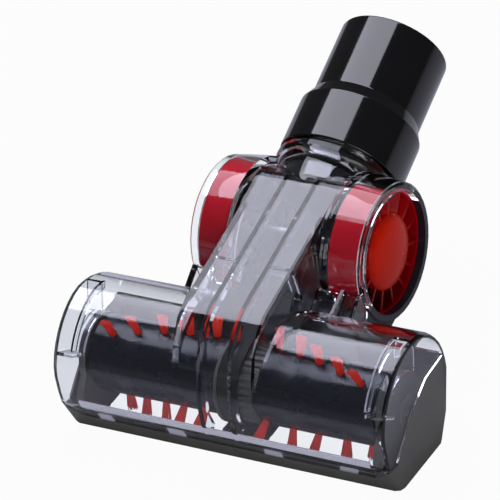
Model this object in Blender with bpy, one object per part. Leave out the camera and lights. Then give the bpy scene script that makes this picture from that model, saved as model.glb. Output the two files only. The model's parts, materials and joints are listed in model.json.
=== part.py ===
"""Air-driven mini brush head for a vacuum hose.

A clear upper housing and a black base close around a tufted roller. Two bladed turbine wheels
behind red guide-vane inlets turn a cross shaft, and a flat belt in the neck takes its turn to
the roller. A stepped hose connector swivels in the neck's collar.

Axes: X along the roller, Y from the front lip to the hose, Z up from the sole.
"""

import math

import bmesh
import bpy
from mathutils import Matrix, Vector

# Head, in metres
HEAD_HALF = 0.065
WALL = 0.0018
SEAT_GAP = 0.0003
SOLE_THICK = 0.0022
SOLE_REAR_Y = 0.0320
SLOT_HALF = HEAD_HALF - 0.0075
BRIDGE_LEFT = -0.0098
BRIDGE_RIGHT = 0.0070
SLOT_FRONT_Y = 0.0068
SLOT_REAR_Y = 0.0270
END_ROUND = 0.0025
TAB_END = SLOT_HALF - 0.0012
TAB_WIDE = 0.0058
TAB_SPANS = (
    (-TAB_END, TAB_WIDE - TAB_END - 0.0015),
    (-0.0455, -0.0240),
    (-0.0165, 0.0140),
    (0.0215, 0.0430),
    (TAB_END - TAB_WIDE, TAB_END),
)
TAB_TOP = 0.0108

# Roller chamber, seen from the side: a rounded crown over a straight skirt
CROWN_Y = 0.0170
CROWN_Z = 0.0236
CROWN_HEIGHT = 0.0236
CROWN_FRONT = 0.0237
CROWN_REAR = 0.0244
CROWN_FRONT_POWER = 1.72
CROWN_REAR_POWER = 2.2
LIP_Z = 0.0065
LIP_Y = -0.0031
BEAD_DEEP = 0.0012
BEAD_HIGH = 0.0019

# Roller
ROLLER_Y = 0.0166
ROLLER_Z = 0.0210
ROLLER_R = 0.0133
ROLLER_WALL = 0.0030
ROLLER_END = HEAD_HALF - 0.0090
SEAM_DEPTH = 0.0004
SEAM_ANGLE = math.radians(147)
AXLE_R = 0.0020
AXLE_OVER = 0.0042
RUN_CLEAR = 0.0004

# Tufts
TUFT_LENGTH = 0.0071
TUFT_ROOT_R = 0.0013
TUFT_TIP_LONG = 0.0019
TUFT_TIP_WIDE = 0.0012
TUFT_HOLE_DEPTH = 0.0018
TUFT_FIRST = 0.0123
TUFT_PITCH = 0.0091
TUFTS_PER_ROW = 5
TUFT_ROWS = (math.radians(70), math.radians(-144))
TUFT_TWIST = math.radians(1.2) / 0.001

# Belt drive
ROLLER_TEETH = 35
TURBINE_TEETH = 14
TOOTH_PITCH = 0.0025
TOOTH_DEPTH = 0.0008
PULLEY_LEFT = -0.0045
PULLEY_RIGHT = 0.0098
FLANGE_WIDE = 0.0012
FLANGE_OVER = 0.0013
BELT_LEFT = -0.0028
BELT_WIDE = 0.0076
BELT_THICK = 0.0012

# Roller bearings
CAP_THICK = 0.0026
CAP_R = 0.0136
CAP_FOOT_FRONT = 0.0151
CAP_FOOT_REAR = 0.0129
CAP_KNEE = 0.0183
BUSH_WALL = 0.0022
BUSH_RIM = 0.0010
BUSH_FLANGE = 0.0008

# Bearing holders inside the crown: each plate's angle in degrees and how far out it reaches
HOLDER_PLATES = ((78, 0.0250), (152, 0.0222))
HOLDER_THICK = 0.0012
HOLDER_SINK = 0.0005
HOLDER_RIM_DEEP = 0.0040

# Side drums and their red inlets
DRUM_Y = 0.0678
DRUM_Z = 0.0465
DRUM_R = 0.0246
DRUM_HALF = 0.0340
DRUM_BARREL = ((0.45, 0.0008), (0.75, 0.0013), (1.0, 0.0015))
DRUM_WAIST_R = 0.0236
DRUM_WALL = 0.0022
MOUTH_R = 0.0216
MOUTH_DEEP = 0.0028
BULKHEAD_X = 0.0179
BULKHEAD_THICK = 0.0020
BULKHEAD_BORE = 0.0175
CUP_WALL = 0.0013
VANE_COUNT = 15
VANE_THICK = 0.0011
VANE_DEEP = 0.0034
VANE_SLANT = math.radians(38)
HUB_R = 0.0136
HUB_RISE = 0.0034
HUB_WALL = 0.0014
BOSS_WALL = 0.0014

# Turbine
SHAFT_R = 0.0015
BEARING_R = 0.0040
BEARING_WIDE = 0.0030
BLADE_COUNT = 12
BLADE_THICK = 0.0009
BLADE_WIDE = 0.0052
BLADE_TURN = math.radians(48)
WHEEL_HUB_R = 0.0042
WHEEL_DISC = 0.0010
WHEEL_CLEAR = 0.0007

# Neck
NECK_SLOPE = math.radians(16.0)
NECK_START = -0.0045
NECK_TOP_DROP = 0.00145
NECK_HALF_TOP = 0.0160
NECK_HALF_FOOT = 0.0240
FLAT_HALF = 0.0185
FLAT_STEP = 0.00008
NECK_KNEE_Y = 0.0100
RIB_X = 0.0060
RIB_THICK = 0.0018
RIB_DEEP = 0.0050
RIB_REAR = math.radians(8)
CROSS_RIB_Y = 0.0305
CROSS_RIB_THICK = 0.0012
CROSS_RIB_DEEP = 0.0042
CROSS_RIB_FOOT = 0.0475
SHOULDER_HALF = 0.0332
GUSSET_X = 0.0262
GUSSET_THICK = 0.0012

# Collar and swivel
TUBE_TILT = math.radians(25.6)
COLLAR_WAIST_R = 0.0200
COLLAR_END = 0.0272
COLLAR_FLARE = (
    (-0.0020, 0.00215),
    (0.0078, 0.00215),
    (0.0092, 0.00170),
    (0.0108, 0.00115),
    (0.0124, 0.00062),
    (0.0138, 0.00024),
    (0.0154, 0.00003),
    (0.0170, 0.0),
    (0.0203, 0.00012),
    (0.0214, 0.00060),
    (0.0224, 0.00160),
    (0.0233, 0.00230),
    (0.0244, 0.00260),
    (0.0262, 0.00248),
    (COLLAR_END, 0.00180),
)
COLLAR_BORE = 0.0185
GROOVE_START = 0.0222
GROOVE_WIDE = 0.0026
GROOVE_DEEP = 0.0015
SLEEVE_BORE = 0.0164
SLEEVE_START = 0.0140
TUBE_R = 0.0200
SOCKET_R = TUBE_R - 0.0025
SKIRT_R = 0.0226
SKIRT_WALL = 0.0024
SKIRT_LONG = 0.0201
STEP_LONG = 0.0043
TUBE_LONG = 0.0290
RIM_ROUND = 0.0010
SLEEVE_FLANGE = 0.0024

STEPS = 40
SMALL_STEPS = 20

# Where the longest pieces reach, for the origin at the middle of the head's outline
FRONT_Y = CROWN_Y - CROWN_FRONT
TUBE_END = COLLAR_END + 0.0008 + SKIRT_LONG + STEP_LONG + TUBE_LONG
RIM_SOFT = 0.3 * RIM_ROUND
REAR_Y = DRUM_Y + (TUBE_END - RIM_SOFT) * math.cos(TUBE_TILT) + (TUBE_R - RIM_SOFT) * math.sin(TUBE_TILT)
MIDDLE_Y = (FRONT_Y + REAR_Y) / 2

# Colours from the photograph, as linear values with roughness
BLACK = ((0.012, 0.012, 0.013), 0.12)
CHARCOAL = ((0.045, 0.045, 0.045), 0.45)
NAVY = ((0.008, 0.011, 0.022), 0.35)
CLEAR = ((0.85, 0.86, 0.90), 0.03)
CRIMSON = ((0.42, 0.004, 0.015), 0.2)
TUFT_RED = ((0.60, 0.02, 0.015), 0.5)
STEEL = ((0.60, 0.60, 0.60), 0.25)
RUBBER = ((0.015, 0.015, 0.016), 0.7)


def clear_scene():
    for old in list(bpy.data.objects):
        bpy.data.objects.remove(old, do_unlink=True)


def axis_empty(name, place, tilt=0.0, parent=None):
    """An empty whose X (or, tilted, Z) is an axis that pieces turn about."""
    empty = bpy.data.objects.new(name, None)
    empty.empty_display_size = 0.01
    bpy.context.collection.objects.link(empty)
    empty.parent = parent
    empty.location = place
    empty.rotation_euler = (tilt, 0.0, 0.0)
    return empty


def make_object(name, shape, parent):
    """The finished object of a bmesh, with its faces pointing outwards."""
    bmesh.ops.remove_doubles(shape, verts=shape.verts, dist=1e-7)
    bmesh.ops.recalc_face_normals(shape, faces=shape.faces)
    mesh = bpy.data.meshes.new(name)
    shape.to_mesh(mesh)
    shape.free()
    part = bpy.data.objects.new(name, mesh)
    bpy.context.collection.objects.link(part)
    part.parent = parent
    return part


def dress(part, look, metallic=0.0, sharp=35):
    """Gives a part its material and smooth shading between its sharp edges."""
    (red, green, blue), rough = look
    material = bpy.data.materials.new(part.name)
    material.use_nodes = True
    surface = material.node_tree.nodes["Principled BSDF"]
    surface.inputs["Base Color"].default_value = (red, green, blue, 1.0)
    surface.inputs["Roughness"].default_value = rough
    surface.inputs["Metallic"].default_value = metallic
    if look is CLEAR:
        surface.inputs["Transmission Weight"].default_value = 1.0
    part.data.materials.clear()
    part.data.materials.append(material)
    part.data.shade_smooth()
    part.data.set_sharp_from_angle(angle=math.radians(sharp))


def combine(target, other, operation):
    """Joins or cuts the target with another object, which becomes a hidden guide."""
    other.hide_render = True
    other.display_type = "WIRE"
    boolean = target.modifiers.new(other.name, "BOOLEAN")
    boolean.operation = operation
    boolean.solver = "EXACT"
    boolean.object = other


def join(target, other):
    combine(target, other, "UNION")


def cut(target, other):
    combine(target, other, "DIFFERENCE")


def keep(target, other):
    combine(target, other, "INTERSECT")


def add_prism(shape, outline, start, end):
    """Adds a solid of a side outline of (y, z) points between two places along X."""
    near = [shape.verts.new((start, y, z)) for y, z in outline]
    far = [shape.verts.new((end, y, z)) for y, z in outline]
    shape.faces.new(near)
    shape.faces.new(far[::-1])
    for i, vert in enumerate(near):
        after = (i + 1) % len(near)
        shape.faces.new((near[after], vert, far[i], far[after]))


def prism(name, outline, start, end, parent=None):
    shape = bmesh.new()
    add_prism(shape, outline, start, end)
    return make_object(name, shape, parent)


def prism_pair(name, outline, start, end, parent=None):
    """The same solid on the right and, mirrored, on the left."""
    shape = bmesh.new()
    add_prism(shape, outline, start, end)
    add_prism(shape, outline, -end, -start)
    return make_object(name, shape, parent)


def add_block(shape, low, high):
    middle = [(low[i] + high[i]) / 2 for i in range(3)]
    size = [high[i] - low[i] for i in range(3)]
    place = Matrix.Translation(middle) @ Matrix.Diagonal((*size, 1.0))
    bmesh.ops.create_cube(shape, size=1.0, matrix=place)


def revolve(name, profile, parent, steps=STEPS, closed=True, axis="X", phase=0.0):
    """Turns (distance along the axis, radius) points about the parent's X or Z axis.

    The phase, in steps, keeps the facets of two joined rounds from meeting edge on edge.
    """
    shape = bmesh.new()
    turn = phase * math.tau / steps
    cosine, sine = math.cos(turn), math.sin(turn)
    if axis == "X":
        verts = [shape.verts.new((along, radius * cosine, radius * sine)) for along, radius in profile]
        about = (1.0, 0.0, 0.0)
    else:
        verts = [shape.verts.new((radius * cosine, radius * sine, along)) for along, radius in profile]
        about = (0.0, 0.0, 1.0)
    pairs = list(zip(verts, verts[1:]))
    if closed:
        pairs.append((verts[-1], verts[0]))
    edges = [shape.edges.new(pair) for pair in pairs]
    bmesh.ops.spin(
        shape, geom=verts + edges, cent=(0, 0, 0), axis=about, angle=math.tau, steps=steps, use_merge=True
    )
    bmesh.ops.remove_doubles(shape, verts=shape.verts, dist=1e-7)
    merge_flat_caps(shape)
    return make_object(name, shape, parent)


def merge_flat_caps(shape):
    """Makes one face of each flat fan of triangles round a point on the axis."""
    shape.normal_update()
    centers = []
    for vert in shape.verts:
        faces = vert.link_faces
        if len(faces) > 8 and all(f.normal.dot(faces[0].normal) > 0.9999 for f in faces):
            centers.append(vert)
    bmesh.ops.dissolve_verts(shape, verts=centers)


def cylinder(name, start, end, radius, parent, steps=STEPS, axis="X"):
    profile = [(start, 0.0), (start, radius), (end, radius), (end, 0.0)]
    return revolve(name, profile, parent, steps, closed=False, axis=axis)


def inset_outline(points, distance):
    """The outline of (y, z) points moved inwards; negative distances move it out."""
    count = len(points)
    turn = sum(
        points[i][0] * points[(i + 1) % count][1] - points[(i + 1) % count][0] * points[i][1]
        for i in range(count)
    )
    side = 1.0 if turn > 0 else -1.0
    moved = []
    for i, point in enumerate(points):
        here = Vector(point)
        before = (here - Vector(points[i - 1])).normalized()
        after = (Vector(points[(i + 1) % count]) - here).normalized()
        inward_before = Vector((-before.y, before.x)) * side
        inward_after = Vector((-after.y, after.x)) * side
        bisector = (inward_before + inward_after).normalized()
        moved.append(tuple(here + bisector * (distance / max(bisector.dot(inward_before), 0.3))))
    return moved


def arc(center, radius, start, end, count):
    """Points of an arc about (y, z), with its angles in degrees."""
    angles = [math.radians(start + (end - start) * i / (count - 1)) for i in range(count)]
    return [(center[0] + radius * math.cos(a), center[1] + radius * math.sin(a)) for a in angles]


def crown_point(angle):
    """A point on the chamber's crown, a power curve that is flatter in front."""
    cosine, sine = math.cos(angle), math.sin(angle)
    reach = CROWN_REAR if cosine > 0 else CROWN_FRONT
    power = CROWN_REAR_POWER if cosine > 0 else CROWN_FRONT_POWER
    scale = (abs(cosine) ** power + abs(sine) ** power) ** (-1 / power)
    return (CROWN_Y + reach * cosine * scale, CROWN_Z + CROWN_HEIGHT * sine * scale)


def chamber_outline():
    """The roller chamber's side outline, from the sole's front edge anticlockwise."""
    rear_y = CROWN_Y + CROWN_REAR
    crown = [crown_point(math.radians(angle)) for angle in range(0, 181, 10)]
    front_y = CROWN_Y - CROWN_FRONT
    return [
        (0.0, 0.0),
        (SOLE_REAR_Y, 0.0),
        (SOLE_REAR_Y + 0.55 * (rear_y - SOLE_REAR_Y), 0.35 * CROWN_Z),
        *crown,
        (front_y + 0.0003, 0.72 * CROWN_Z),
        (LIP_Y - 0.0026, LIP_Z + 0.0054),
        (LIP_Y, LIP_Z),
    ]


def neck_line(along, below):
    """A point of the neck's flat top: along it from the drum, and below the drum's skin."""
    reach = DRUM_R - NECK_TOP_DROP - below
    return (
        DRUM_Y - reach * math.sin(NECK_SLOPE) - along * math.cos(NECK_SLOPE),
        DRUM_Z + reach * math.cos(NECK_SLOPE) - along * math.sin(NECK_SLOPE),
    )


def neck_chains(inset):
    """The neck's top and foot lines as equally long lists, from the drum to the front lip."""
    knee = (DRUM_Y - NECK_KNEE_Y) / math.cos(NECK_SLOPE) - DRUM_R * math.tan(NECK_SLOPE)
    front_y = CROWN_Y - CROWN_FRONT
    top = [
        neck_line(NECK_START, inset),
        neck_line(knee, inset),
        (NECK_KNEE_Y - 0.0052 + 0.5 * inset, CROWN_Z + 0.0272 - inset),
        (NECK_KNEE_Y - 0.0100 + 0.8 * inset, CROWN_Z + 0.0212 - 0.6 * inset),
        (front_y + 0.0035 + inset, CROWN_Z + 0.0128 - 0.3 * inset),
        (front_y + 0.0011 + inset, CROWN_Z + 0.0036),
        (front_y + 0.0006 + inset, CROWN_Z - 0.0050),
    ]
    foot = [
        (DRUM_Y - 0.0050, DRUM_Z - DRUM_R + 0.0015 + inset),
        (CROWN_Y + 0.0150, 0.0118 + inset),
        (CROWN_Y + 0.0100, 0.0128 + inset),
        (CROWN_Y + 0.0060, 0.0140 + inset),
        (CROWN_Y + 0.0030, 0.0140 + inset),
        (CROWN_Y, 0.0140 + inset),
        (CROWN_Y - 0.0030, 0.0140 + inset),
    ]
    return top, foot


def neck_form(name, inset, parent):
    """A loft of upright sections, narrow at the flat top and wider at the foot."""
    shape = bmesh.new()
    rings = []
    for (top_y, top_z), (foot_y, foot_z) in zip(*neck_chains(inset)):
        narrow = NECK_HALF_TOP - inset
        wide = NECK_HALF_FOOT - inset
        corners = [(-narrow, top_y, top_z), (narrow, top_y, top_z)]
        corners += [(wide, foot_y, foot_z), (-wide, foot_y, foot_z)]
        rings.append([shape.verts.new(corner) for corner in corners])
    for ring, after in zip(rings, rings[1:]):
        for i in range(4):
            n = (i + 1) % 4
            shape.faces.new((ring[i], ring[n], after[n], after[i]))
    shape.faces.new(rings[0])
    shape.faces.new(rings[-1][::-1])
    bmesh.ops.triangulate(shape, faces=shape.faces)
    return make_object(name, shape, parent)


def flat_cutter(name, inset, parent):
    """What the neck's flat top takes off the middle of the drum."""
    back = neck_line(-0.0085, inset + FLAT_STEP)
    front = neck_line(0.0160, inset + FLAT_STEP)
    outline = [front, back, (back[0] + 0.001, back[1] + 0.020), (front[0], front[1] + 0.030)]
    half = FLAT_HALF if inset else FLAT_HALF + 0.0002
    return prism(name, outline, -half, half, parent)


def shoulder_outline():
    """The web between the chamber's rear and the drums."""
    return [
        (CROWN_Y + 0.0150, 0.0140),
        (DRUM_Y - 0.0240, 0.0165),
        (DRUM_Y - 0.0050, DRUM_Z - DRUM_R + 0.0008),
        (DRUM_Y, DRUM_Z - 0.0100),
        (DRUM_Y - DRUM_R + 0.0040, DRUM_Z - 0.0010),
        (DRUM_Y - DRUM_R - 0.0006, DRUM_Z - 0.0016),
        (CROWN_Y + 0.0190, CROWN_Z + 0.0168),
        (CROWN_Y + 0.0100, CROWN_Z + 0.0100),
    ]


def collar_profile(inset):
    """The collar on the tube's axis: a waisted barrel that flares into a ring, or its bore."""
    if not inset:
        skin = [(along, COLLAR_WAIST_R + over) for along, over in COLLAR_FLARE]
        return [(skin[0][0], 0.0), *skin, (skin[-1][0], 0.0)]
    groove_r = COLLAR_BORE + GROOVE_DEEP
    return [
        (-0.004, 0.0),
        (-0.004, COLLAR_BORE),
        (GROOVE_START, COLLAR_BORE),
        (GROOVE_START, groove_r),
        (GROOVE_START + GROOVE_WIDE, groove_r),
        (GROOVE_START + GROOVE_WIDE, COLLAR_BORE),
        (COLLAR_END + 0.003, COLLAR_BORE),
        (COLLAR_END + 0.003, 0.0),
    ]


def drum_form(name, inset, parent):
    """The two side drums, barrel shaped, or with an inset the space inside them."""
    if not inset:
        soft = 0.0008
        length = DRUM_HALF - FLAT_HALF
        half = [(DRUM_HALF, 0.0), (DRUM_HALF, DRUM_R - soft), (DRUM_HALF - soft, DRUM_R)]
        half += [(DRUM_HALF - share * length, DRUM_R + over) for share, over in DRUM_BARREL]
        half += [(FLAT_HALF, DRUM_WAIST_R)]
        mirrored = [(-along, r) for along, r in half]
        return revolve(name, mirrored + half[::-1], parent, closed=False)
    inner = DRUM_R - DRUM_WALL
    seat = DRUM_HALF - MOUTH_DEEP
    over = DRUM_HALF + 0.002
    profile = [(-over, 0.0), (-over, MOUTH_R), (-seat, MOUTH_R), (-seat, inner)]
    profile += [(seat, inner), (seat, MOUTH_R), (over, MOUTH_R), (over, 0.0)]
    return revolve(name, profile, parent, closed=False)


def housing_form(name, inset, frame, drum_axis, tube_axis):
    """The whole housing as one solid, or with an inset the space inside its walls."""
    end = HEAD_HALF - inset
    outline = inset_outline(chamber_outline(), inset) if inset else chamber_outline()
    if inset:
        outline[0] = (outline[0][0], SOLE_THICK)
        outline[1] = (outline[1][0], SOLE_THICK)
    form = prism(name, outline, -end, end, frame)
    if not inset:
        round_ends(form)
    drum = drum_form(name + "_drum", inset, drum_axis)
    cut(drum, flat_cutter(name + "_flat", inset, frame))
    join(form, drum)
    shoulder = shoulder_outline()
    if inset:
        shoulder = inset_outline(shoulder, inset)
    join(form, prism(name + "_shoulder", shoulder, -SHOULDER_HALF + inset, SHOULDER_HALF - inset, frame))
    join(form, neck_form(name + "_neck", inset, frame))
    collar = revolve(name + "_collar", collar_profile(inset), tube_axis, closed=False, axis="Z", phase=0.5)
    join(form, collar)
    form.hide_render = True
    return form


def round_ends(form):
    """Rounds the rim of both end faces."""
    shape = bmesh.new()
    shape.from_mesh(form.data)
    rims = [e for e in shape.edges if abs(e.verts[0].co.x - e.verts[1].co.x) < 1e-6]
    sole = [e for e in rims if max(v.co.z for v in e.verts) < 1e-6]
    rims = [e for e in rims if e not in sole]
    bmesh.ops.bevel(
        shape, geom=rims, offset=END_ROUND, segments=2, profile=0.5, affect="EDGES", material=-1,
        clamp_overlap=True,
    )
    shape.to_mesh(form.data)
    shape.free()


def parting_outline(gap):
    """Everything below the line where the clear cover meets the base."""
    far = 0.16
    rise = math.tan(TUBE_TILT)
    meet_y = CROWN_Y + 0.0290
    far_z = DRUM_Z + (far - DRUM_Y) * rise - SEAT_GAP / 2
    return [
        (-0.02, -0.01),
        (-0.02, LIP_Z + gap),
        (0.0005, LIP_Z + gap),
        (0.0005, 0.0115 + gap),
        (0.0129, 0.0222 + gap),
        (0.0255, 0.0288 + gap),
        (CROWN_Y + 0.0200, 0.0299 + gap),
        (CROWN_Y + CROWN_REAR + 0.0006, 0.0304 + gap),
        (meet_y, DRUM_Z + (meet_y - DRUM_Y) * rise - SEAT_GAP / 2 + gap),
        (far, far_z + gap),
        (far, -0.01),
    ]


def parting_form(name, gap, frame):
    """The parting solid, with the line rising at the head's front corners and shoulders."""
    form = prism(name, parting_outline(gap), -0.08, 0.08, frame)
    shape = bmesh.new()
    for side in (-1.0, 1.0):
        start, end = HEAD_HALF - 0.0075, HEAD_HALF + 0.002
        low = [(-0.021, 0.002), (0.0011, 0.002)]
        near = [(y, z, start) for y, z in low] + [(0.0011, LIP_Z + gap, start), (-0.021, LIP_Z + gap, start)]
        far = [(y, z, end) for y, z in low] + [(0.0011, 0.0122 + gap, end), (-0.021, 0.0122 + gap, end)]
        a = [shape.verts.new((side * x, y, z)) for y, z, x in near]
        b = [shape.verts.new((side * x, y, z)) for y, z, x in far]
        shape.faces.new(a)
        shape.faces.new(b[::-1])
        for i in range(4):
            n = (i + 1) % 4
            shape.faces.new((a[n], a[i], b[i], b[n]))
    join(form, make_object(name + "_corners", shape, frame))
    form.hide_render = True
    return form


def bulkhead_rings(drum_axis, tube_axis):
    """The rings inside the drum that part each inlet from the neck, open towards the collar."""
    outer = DRUM_R - NECK_TOP_DROP - 0.0003
    room_r = COLLAR_BORE + GROOVE_DEEP + 0.0002
    room = cylinder("sleeve_room", SLEEVE_START - 0.0006, 0.04, room_r, tube_axis, axis="Z")
    rings = []
    for side, start in (("right", BULKHEAD_X), ("left", -BULKHEAD_X - BULKHEAD_THICK)):
        end = start + BULKHEAD_THICK
        profile = [(start, BULKHEAD_BORE), (start, outer), (end, outer), (end, BULKHEAD_BORE)]
        ring = revolve("bulkhead_" + side, profile, drum_axis, phase=0.5)
        cut(ring, room)
        ring.hide_render = True
        rings.append(ring)
    return rings


def neck_rib_outline():
    """The belt channel's ribs follow the inside from the drum's top along the neck to the lip."""
    top, _ = neck_chains(WALL * 0.4)
    deep, _ = neck_chains(RIB_DEEP)
    rear = Vector((math.sin(RIB_REAR), math.cos(RIB_REAR)))
    middle = Vector((DRUM_Y, DRUM_Z))
    top.insert(0, tuple(middle + rear * (DRUM_WAIST_R - WALL * 0.4)))
    deep.insert(0, tuple(middle + rear * (DRUM_WAIST_R - RIB_DEEP)))
    foot_z = TAB_TOP + 2 * SEAT_GAP
    lip = (LIP_Y - (foot_z - LIP_Z) * 0.5 + 0.0008, foot_z)
    lip_deep = (LIP_Y + 0.0045, foot_z)
    return [*top, lip, lip_deep, *deep[::-1]]


def lip_bead():
    """A rounded bar along the inside of the cover's front wall, just above the lip's tabs."""
    middle = (LIP_Y - 0.0014, TAB_TOP + BEAD_HIGH + 0.0002)
    unit = arc((0.0, 0.0), 1.0, 0, 330, 12)
    return [(middle[0] + BEAD_DEEP * y, middle[1] + BEAD_HIGH * z) for y, z in unit]


def cross_hoop(frame):
    """A low rib around the neck's inside, from each belt rib down the side wall."""
    hoop = neck_form("cross_hoop", WALL * 0.4, frame)
    rear_y = CROSS_RIB_Y + CROSS_RIB_THICK
    slab = [(CROSS_RIB_Y, CROSS_RIB_FOOT), (rear_y, CROSS_RIB_FOOT), (rear_y, DRUM_Z + DRUM_R)]
    slab.append((CROSS_RIB_Y, DRUM_Z + DRUM_R))
    keep(hoop, prism_pair("cross_hoop_slab", slab, RIB_X, NECK_HALF_FOOT, frame))
    cut(hoop, neck_form("cross_hoop_inside", CROSS_RIB_DEEP, frame))
    return hoop


def holder_plate(shape, angle, reach_out, start, end):
    """A radial plate that holds the bearing cap from the chamber's crown."""
    reach_in = CAP_R + SEAT_GAP + HOLDER_SINK
    half = HOLDER_THICK / 2
    turn = math.radians(angle)
    along = Vector((math.cos(turn), math.sin(turn)))
    across = Vector((-along.y, along.x))
    middle = Vector((ROLLER_Y, ROLLER_Z))
    outline = [
        middle + along * reach_in - across * half,
        middle + along * reach_out - across * half,
        middle + along * reach_out + across * half,
        middle + along * reach_in + across * half,
    ]
    add_prism(shape, [tuple(point) for point in outline], start, end)


def holder_cradle():
    """The arch between the two holder plates, which rests on the bearing cap."""
    inner = arc((ROLLER_Y, ROLLER_Z), CAP_R + SEAT_GAP, 76, 154, 9)
    outer = arc((ROLLER_Y, ROLLER_Z), CAP_R + SEAT_GAP + HOLDER_THICK, 154, 76, 9)
    return inner + outer


def holder_rim():
    """A low rib on the inside of the crown, between the two holder plates."""
    middle = Vector((CROWN_Y, CROWN_Z))
    outer, inner = [], []
    for angle in range(75, 156, 10):
        spoke = Vector(crown_point(math.radians(angle))) - middle
        outer.append(tuple(middle + spoke * (1 - WALL * 0.45 / spoke.length)))
        inner.append(tuple(middle + spoke * (1 - HOLDER_RIM_DEEP / spoke.length)))
    return outer + inner[::-1]


def build_cover(frame, outer, inner, above, rings):
    """The clear upper moulding: chamber crown, neck, and the front halves of drums and collar."""
    cover = shell_copy("cover", outer, inner, frame)
    for ring in rings:
        join(cover, ring)
    ribs = neck_rib_outline()
    join(cover, prism_pair("cover_ribs", ribs, RIB_X - RIB_THICK / 2, RIB_X + RIB_THICK / 2, frame))
    join(cover, cross_hoop(frame))
    join(cover, prism("cover_lip_bead", lip_bead(), -SLOT_HALF, SLOT_HALF, frame))
    gusset = [
        (DRUM_Y - DRUM_R + 0.0018, DRUM_Z + 0.0010),
        (DRUM_Y - DRUM_R + 0.0030, DRUM_Z - 0.0080),
        (CROWN_Y + 0.0170, CROWN_Z + 0.0140),
        (CROWN_Y + 0.0140, CROWN_Z + 0.0180),
    ]
    holders = bmesh.new()
    for start, end in ((ROLLER_END + 0.0014, HEAD_HALF - 0.0009), (-HEAD_HALF + 0.0009, -ROLLER_END - 0.0014)):
        for angle, reach_out in HOLDER_PLATES:
            holder_plate(holders, angle, reach_out, start, end)
    plates = make_object("cover_holder_plates", holders, frame)
    cradle = prism_pair("cover_cradles", holder_cradle(), ROLLER_END + 0.0010, ROLLER_END + 0.0044, frame)
    rim = prism_pair("cover_holder_rims", holder_rim(), ROLLER_END + 0.0008, ROLLER_END + 0.0020, frame)
    join(cover, cradle)
    join(cover, plates)
    join(cover, rim)
    cut(cover, above)
    join(cover, prism_pair("cover_gussets", gusset, GUSSET_X, GUSSET_X + GUSSET_THICK, frame))
    dress(cover, CLEAR)
    return cover


def shell_copy(name, outer, inner, frame):
    """A new object that starts as the housing's outer form and loses its inside."""
    shell = bpy.data.objects.new(name, outer.data.copy())
    bpy.context.collection.objects.link(shell)
    shell.parent = frame
    for old in outer.modifiers:
        boolean = shell.modifiers.new(old.name, "BOOLEAN")
        boolean.operation = old.operation
        boolean.solver = "EXACT"
        boolean.object = old.object
    cut(shell, inner)
    return shell


def build_base(frame, outer, inner, below, rings):
    """The black lower moulding: sole, front lip, end cheeks, and the rear halves."""
    base = shell_copy("base", outer, inner, frame)
    for ring in rings:
        join(base, ring)
    keep(base, below)
    slot = bmesh.new()
    for start, end in ((-SLOT_HALF, BRIDGE_LEFT), (BRIDGE_RIGHT, SLOT_HALF)):
        add_block(slot, (start, SLOT_FRONT_Y, -0.002), (end, SLOT_REAR_Y, 0.006))
    cut(base, make_object("suction_slot", slot, frame))
    join(base, lip_tabs(frame))
    dress(base, CHARCOAL)
    return base


def lip_tabs(frame):
    """Low tabs on the front lip, behind the cover's wall, that line the cover up."""
    shape = bmesh.new()
    for start, end in TAB_SPANS:
        top_y = LIP_Y + WALL - (TAB_TOP - LIP_Z) * 0.5 + SEAT_GAP
        outline = [
            (LIP_Y + WALL + 0.0002, LIP_Z - 0.0026),
            (LIP_Y + WALL + 0.0024, LIP_Z - 0.0026),
            (top_y + 0.0015, TAB_TOP),
            (top_y + 0.0002, TAB_TOP),
            (LIP_Y + WALL + 0.0007, LIP_Z + 0.0002),
        ]
        add_prism(shape, outline, start, end)
    return make_object("lip_tabs", shape, frame)


def build_inlet(side, drum_axis):
    """A red inlet: cup wall, slanted guide vanes and a domed hub with the shaft's boss."""
    name = "inlet_" + ("right" if side > 0 else "left")
    outer = DRUM_R - DRUM_WALL - SEAT_GAP
    inner = outer - CUP_WALL
    face = DRUM_HALF - MOUTH_DEEP - SEAT_GAP
    start = BULKHEAD_X + BULKHEAD_THICK + SEAT_GAP
    wall = [(start, inner), (start, outer), (face, outer), (face, inner)]
    cup = revolve(name, [(side * a, r) for a, r in wall], drum_axis)
    boss_in = BEARING_R + SEAT_GAP
    boss_out = boss_in + BOSS_WALL
    bearing_top = face - 0.0010
    boss_foot = bearing_top - BEARING_WIDE - 0.0002
    inside_r = HUB_R - HUB_WALL
    turns = [math.radians(angle) for angle in (0, 22, 44, 66, 90)]
    hub = [(face + HUB_RISE * math.cos(turn), HUB_R * math.sin(turn)) for turn in turns]
    hub += [
        (face - VANE_DEEP, HUB_R),
        (face - VANE_DEEP, inside_r),
        (face, inside_r),
        (face + 0.0006, boss_out),
        (boss_foot, boss_out),
        (boss_foot, boss_in),
        (bearing_top, boss_in),
        (bearing_top, 0.0),
    ]
    hub_object = revolve(name + "_hub", [(side * a, r) for a, r in hub], drum_axis, closed=False)
    vanes = bmesh.new()
    for i in range(VANE_COUNT):
        add_vane(vanes, side, face, inner, math.tau * (i + 0.25) / VANE_COUNT)
    vane_object = make_object(name + "_vanes", vanes, drum_axis)
    join(vane_object, hub_object)
    join(cup, vane_object)
    dress(cup, CRIMSON)


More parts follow.
